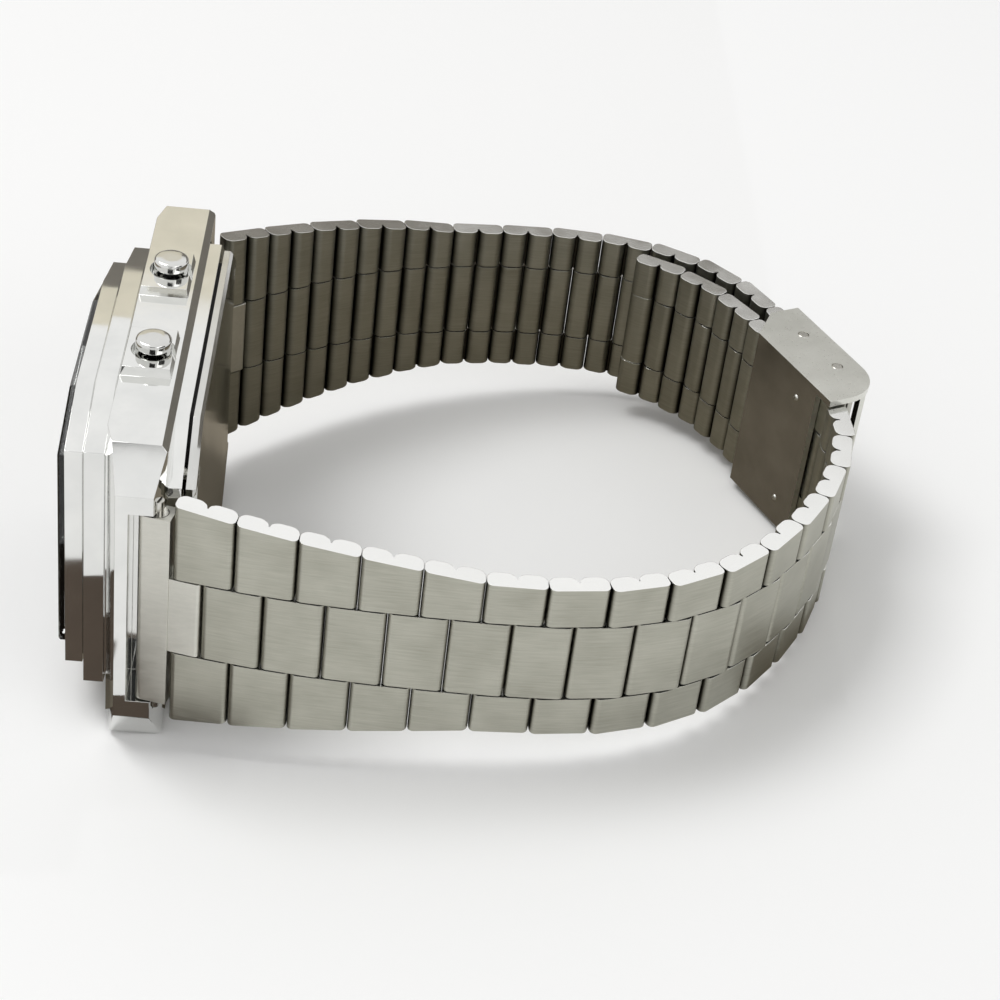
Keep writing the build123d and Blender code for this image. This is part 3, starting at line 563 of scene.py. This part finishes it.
# Case
dressed_copy("case_body", "case_shell", [case_chrome], "case", 0.14, 3)
dressed_copy("case_back", "back_plate", [back_polish], "case", 0.06, 2)
dressed_copy("case_back_screws", "back_screws", [pin_steel], "case", 0.04, 2)
for end in ("near", "far"):
    block = f"{end}_end_link"
    dressed_copy(block, f"{end}_end_block", [end_link_brush], block, 0.12, 2)
    repaint(f"{end}_spring_bar", pin_steel)

repaint("crystal", crystal_clear)
repaint("dial_mask", mask_print)
repaint("lcd_glass", lcd_finish)
repaint("light_panel", film_white)
repaint("zebra_strips", strip_pale)
repaint("module_frame", module_black)
repaint("circuit_board", board_lacquer)
repaint("battery_cell", cell_steel)
repaint("battery_clip", spring_strip)
repaint("piezo_disc", sounder_brass)
repaint("contact_springs", spring_strip)
repaint("button_seals", seal_black)
repaint("back_gasket", seal_black)


# Buttons: radii from a button's own axis, heights from the watch's middle, and the axes' places
CAP_TOP = 15.84
CAP_BOTTOM = 14.45
CAP_RADIUS = 1.38
STEM_RADIUS = 0.7
STEM_END = 11.15
CLIP_TOP = 11.5
CLIP_BOTTOM = 11.25
CLIP_RADIUS = 1.05
BUTTON_X = 0.72
BUTTON_Y = 6.0


def button_cap(side, name):
    """A round cap turned to shape, with a softened rim, on its stem and clip."""
    bm = bmesh.new()
    face = [(0.0, CAP_TOP), (0.6, CAP_TOP), (CAP_RADIUS - 0.26, CAP_TOP)]
    softening = ((0.16, 0.02), (0.06, 0.1), (0.01, 0.2))
    rim = [(CAP_RADIUS - inset, CAP_TOP - drop) for inset, drop in softening]
    wall = [(CAP_RADIUS, CAP_TOP - 0.3), (CAP_RADIUS, CAP_BOTTOM + 0.1)]
    under = [(CAP_RADIUS - 0.05, CAP_BOTTOM + 0.02), (CAP_RADIUS - 0.13, CAP_BOTTOM)]
    stem = [(STEM_RADIUS, CAP_BOTTOM), (STEM_RADIUS, CLIP_TOP)]
    clip = [(CLIP_RADIUS, CLIP_TOP), (CLIP_RADIUS, CLIP_BOTTOM), (STEM_RADIUS, CLIP_BOTTOM)]
    stem_end = [(STEM_RADIUS, STEM_END + 0.05), (STEM_RADIUS - 0.05, STEM_END), (0.0, STEM_END)]
    turned = face + rim + wall + under + stem + clip + stem_end
    corners = [bm.verts.new((radius, 0.0, height)) for radius, height in turned]
    edges = [bm.edges.new(pair) for pair in zip(corners, corners[1:])]
    bmesh.ops.spin(
        bm,
        geom=corners + edges,
        axis=(0.0, 0.0, 1.0),
        cent=(0.0, 0.0, 0.0),
        angle=2 * pi,
        steps=56,
        use_merge=True,
    )
    bmesh.ops.remove_doubles(bm, verts=bm.verts, dist=0.001)
    place = WATCH @ Matrix.Translation((BUTTON_X, side * BUTTON_Y, 0.0))
    cap = make_piece(f"{name}_cap", bm, [button_chrome], name, [name], place, 40.0)
    even_shading(cap)


button_cap(-1, "near_button")
button_cap(1, "far_button")


# Dial print and digits, in millimetres right and up as the viewer of the dial sees them
PRINT_FRONT = -2.94
PRINT_THICK = 0.03
DIGIT_FRONT = -2.63

# The line round the display window: half sizes, centre and thickness
WINDOW_HALF_WIDE = 8.5
WINDOW_HALF_TALL = 5.2
WINDOW_UP = -0.6
WINDOW_LINE = 0.12

# The stacks of bars above and below it: the first bar, the step to the next, and how they shorten
BAR_COUNT = 3
BAR_TALL = 0.16
FIRST_BAR_UP = 6.2
BAR_STEP = 0.9
FIRST_BAR_REACH = 8.0
BAR_SHORTER = 1.6
STACKS_MIDDLE = -0.67

# The bars of a digit stop this far before the corners that they would share
DIGIT_BAR_GAP = 0.08


def flat_plate(bm, outline, front, thick):
    """A thin flat plate facing the dial's viewer. outline runs right and up, as the viewer sees it."""
    corners = [bm.verts.new((front + thick, -up, -right)) for right, up in outline]
    face = bm.faces.new(corners)
    grown = bmesh.ops.extrude_face_region(bm, geom=[face])
    moved = [item for item in grown["geom"] if isinstance(item, bmesh.types.BMVert)]
    bmesh.ops.translate(bm, verts=moved, vec=(-thick, 0.0, 0.0))


def printed_bar(bm, left, right, low, high):
    """A straight bar printed on the dial."""
    flat_plate(bm, [(left, low), (right, low), (right, high), (left, high)], PRINT_FRONT, PRINT_THICK)


def frame_line(bm, half_wide, half_tall, centre_up, line):
    """A rectangular printed line around something."""
    for sign in (-1, 1):
        left, right = sorted((sign * half_wide, sign * (half_wide - line)))
        printed_bar(bm, left, right, centre_up - half_tall, centre_up + half_tall)
        low, high = sorted((centre_up + sign * half_tall, centre_up + sign * (half_tall - line)))
        printed_bar(bm, line - half_wide, half_wide - line, low, high)


def eight_sided(half_wide, half_tall, cut_wide, cut_tall):
    """Corners of an upright rectangle with its own corners cut off, going round."""
    corners = []
    for right, up in ((1, 1), (-1, 1), (-1, -1), (1, -1)):
        side_corner = (right * half_wide, up * (half_tall - cut_tall))
        end_corner = (right * (half_wide - cut_wide), up * half_tall)
        corners += [side_corner, end_corner] if right == up else [end_corner, side_corner]
    return corners


def rim_line(bm, outer, inner):
    """A printed line between two eight-sided outlines."""
    for index in range(8):
        after = (index + 1) % 8
        side = [outer[index], outer[after], inner[after], inner[index]]
        flat_plate(bm, side, PRINT_FRONT, PRINT_THICK)


dial_lines = bmesh.new()
frame_line(dial_lines, WINDOW_HALF_WIDE, WINDOW_HALF_TALL, WINDOW_UP, WINDOW_LINE)
rim_line(dial_lines, eight_sided(9.2, 11.0, 1.87, 6.07), eight_sided(8.98, 10.78, 1.81, 5.88))
for step in range(BAR_COUNT):
    low = FIRST_BAR_UP + BAR_STEP * step
    high = low + BAR_TALL
    reach = FIRST_BAR_REACH - BAR_SHORTER * step
    printed_bar(dial_lines, -reach, reach, low, high)
    printed_bar(dial_lines, -reach, reach, 2 * STACKS_MIDDLE - high, 2 * STACKS_MIDDLE - low)
make_piece("dial_lines", dial_lines, [mask_line_print], "case", [], WATCH)

# The bars that each digit lights, lettered round from the top, with g across the middle
SEGMENTS = {
    "0": "abcdef",
    "1": "bc",
    "2": "abged",
    "3": "abgcd",
    "4": "fgbc",
    "5": "afgcd",
    "6": "afgedc",
    "8": "abcdefg",
}


def bar_outline(centre, reach, half, upright):
    """A six-sided bar with pointed ends."""
    right, up = centre
    upper = [(-reach, 0.0), (half - reach, half), (reach - half, half)]
    corners = upper + [(-along, -across) for along, across in upper]
    if upright:
        return [(right + y, up + x) for x, y in corners]
    return [(right + x, up + y) for x, y in corners]


def show_digit(bm, digit, right, up, wide, tall, half):
    """Seven display bars, of which a digit lights its own."""
    reach_x = wide / 2 - DIGIT_BAR_GAP
    reach_y = tall / 4 - DIGIT_BAR_GAP
    bars = {
        "a": ((right, up + tall / 2), reach_x, False),
        "b": ((right + wide / 2, up + tall / 4), reach_y, True),
        "c": ((right + wide / 2, up - tall / 4), reach_y, True),
        "d": ((right, up - tall / 2), reach_x, False),
        "e": ((right - wide / 2, up - tall / 4), reach_y, True),
        "f": ((right - wide / 2, up + tall / 4), reach_y, True),
        "g": ((right, up), reach_x, False),
    }
    for letter in SEGMENTS[digit]:
        centre, reach, upright = bars[letter]
        flat_plate(bm, bar_outline(centre, reach, half, upright), DIGIT_FRONT, PRINT_THICK)


def show_number(bm, number, places, up, wide, tall, half):
    """Digits side by side at one height and size."""
    for digit, right in zip(number, places):
        show_digit(bm, digit, right, up, wide, tall, half)


# Hours and minutes, then seconds, then the day of the month above them, and the colon's two dots
digits = bmesh.new()
show_number(digits, "1058", (-6.1, -3.6, -0.2, 2.3), -2.2, 1.5, 3.1, 0.2)
show_number(digits, "36", (4.9, 6.6), -2.7, 1.0, 2.1, 0.15)
show_number(digits, "24", (4.9, 6.6), 1.7, 1.0, 1.9, 0.15)
for up in (-1.6, -2.9):
    dot = [(-2.05, up - 0.15), (-1.75, up - 0.15), (-1.75, up + 0.15), (-2.05, up + 0.15)]
    flat_plate(digits, dot, DIGIT_FRONT, PRINT_THICK)
make_piece("display_digits", digits, [segment_black], "case", [], WATCH)

# Clasp
outward = clasp_place.to_3x3().col[1].normalized()
wrist_side = -outward


def frame_finish(face):
    """The wrist side of the frame's plate is polished and darkened with painted shade, the rest is
    satin.
    """
    return 1 if face.normal.dot(wrist_side) > 0.95 else 0


shell_finishes = [clasp_satin, shaded_plate_polish]
dressed_copy("clasp_frame", "clasp_shell", shell_finishes, "clasp", 0.16, 3, frame_finish)
dressed_copy("clasp_cover", "clasp_lid", [cover_brush], "clasp_cover", 0.1, 3)
dressed_copy("cover_pin", "cover_pin_turned", [pin_steel], "clasp", 0.1, 2)
dressed_copy("strap_pin", "strap_pin_turned", [pin_steel], "clasp", 0.1, 2)

# Studio
floor_mesh = bmesh.new()
bmesh.ops.create_grid(floor_mesh, x_segments=1, y_segments=1, size=2.5)
floor_data = bpy.data.meshes.new("floor")
floor_mesh.to_mesh(floor_data)
floor_mesh.free()
floor = bpy.data.objects.new("floor", floor_data)
bpy.context.scene.collection.objects.link(floor)
floor_paint = new_finish("floor_paint", (0.93, 0.93, 0.925), 0.0, 0.7)
floor_data.materials.append(floor_paint)


def studio_card(name, place, aim, wide, tall, tone):
    """A card that only shows in the polished metal, as in any product studio."""
    card_mesh = bmesh.new()
    bmesh.ops.create_grid(card_mesh, x_segments=1, y_segments=1, size=0.5)
    facing = (Vector(aim) - Vector(place)).to_track_quat("Z", "Y").to_matrix().to_4x4()
    spread = Matrix.Diagonal((wide, tall, 1.0, 1.0))
    standing = Matrix.Translation(place) @ facing @ spread
    bmesh.ops.transform(card_mesh, matrix=standing, verts=card_mesh.verts)
    data = bpy.data.meshes.new(name)
    card_mesh.to_mesh(data)
    card_mesh.free()
    card = bpy.data.objects.new(name, data)
    bpy.context.scene.collection.objects.link(card)
    data.materials.append(new_finish(f"{name}_paint", tone, 0.0, 0.9))
    card.visible_camera = False
    card.visible_diffuse = False
    card.visible_shadow = False
    card.visible_transmission = False


def lying_card(name, place, wide, tall, tone):
    """A card that lies face up just above the floor."""
    studio_card(name, place, (place[0], place[1], 1.0), wide, tall, tone)


DARK_BROWN = (0.07, 0.05, 0.035)
WATCH_MIDDLE = (0.0, 0.0, 0.02)

# On the floor, under and round the watch
lying_card("table_card", (-0.06, 0.065, 0.0002), 0.18, 0.17, (0.23, 0.2, 0.15))
lying_card("corner_card", (-0.08, -0.029, 0.0003), 0.1, 0.018, DARK_BROWN)
lying_card("lug_card", (-0.026, -0.0275, 0.0004), 0.014, 0.007, DARK_BROWN)
lying_card("front_card", (-0.045, -0.172, 0.0003), 0.08, 0.06, (0.01, 0.01, 0.01))

# Behind the watch, at the camera and to the right
studio_card("beige_card", (-0.17, 0.419, 0.245), (-0.17, 0.0, 0.245), 0.31, 0.09, (0.78, 0.73, 0.6))
studio_card("camera_card", (0.0, -0.4, 0.3), WATCH_MIDDLE, 0.26, 0.16, (0.012, 0.012, 0.012))
studio_card("back_card", (0.0, 0.42, 0.13), (0.0, 0.0, 0.13), 1.3, 0.26, (0.2, 0.185, 0.16))
studio_card("right_card", (0.34, -0.22, 0.12), WATCH_MIDDLE, 0.3, 0.24, (0.03, 0.03, 0.03))


def soft_light(name, place, aim, size, power):
    """A square soft box, turned to where it aims."""
    lamp = bpy.data.lights.new(name, "AREA")
    lamp.shape = "SQUARE"
    lamp.size = size
    lamp.energy = power
    light = bpy.data.objects.new(name, lamp)
    bpy.context.scene.collection.objects.link(light)
    light.location = place
    light.rotation_euler = (Vector(aim) - Vector(place)).to_track_quat("-Z", "Y").to_euler()


soft_light("key_light", (-0.25, 0.1, 0.6), (0.0, 0.0, 0.0), 0.3, 1.8)
soft_light("fill_light", (0.5, -0.45, 0.4), (0.0, 0.0, 0.0), 0.4, 0.6)

# The air is white where the camera, a reflection or a glass sees it, and lights at a plain level
sky = bpy.data.worlds.new("studio_air")
bpy.context.scene.world = sky
sky.use_nodes = True
sky_nodes = sky.node_tree.nodes
air = sky_nodes["Background"]
air.inputs["Color"].default_value = (1.0, 1.0, 1.0, 1.0)
rays = sky_nodes.new("ShaderNodeLightPath")
seen = rays.outputs["Is Camera Ray"]
for kind in ("Is Glossy Ray", "Is Transmission Ray"):
    either = sky_nodes.new("ShaderNodeMath")
    either.operation = "MAXIMUM"
    wire(sky, seen, either.inputs[0])
    wire(sky, rays.outputs[kind], either.inputs[1])
    seen = either.outputs["Value"]
level = sky_nodes.new("ShaderNodeMapRange")
level.inputs["To Min"].default_value = 0.62
level.inputs["To Max"].default_value = 1.0
wire(sky, seen, level.inputs["Value"])
wire(sky, level.outputs["Result"], air.inputs["Strength"])

camera_data = bpy.data.cameras.new("camera")
camera_data.sensor_width = 36.0
camera_data.lens = 82.8
camera_data.clip_start = 0.01
camera = bpy.data.objects.new("camera", camera_data)
bpy.context.scene.collection.objects.link(camera)
camera.location = (0.00177, -0.15956, 0.12256)
camera.rotation_euler = (radians(53.91), radians(0.155), radians(-0.174))
bpy.context.scene.camera = camera
bpy.context.scene.view_settings.view_transform = "Standard"
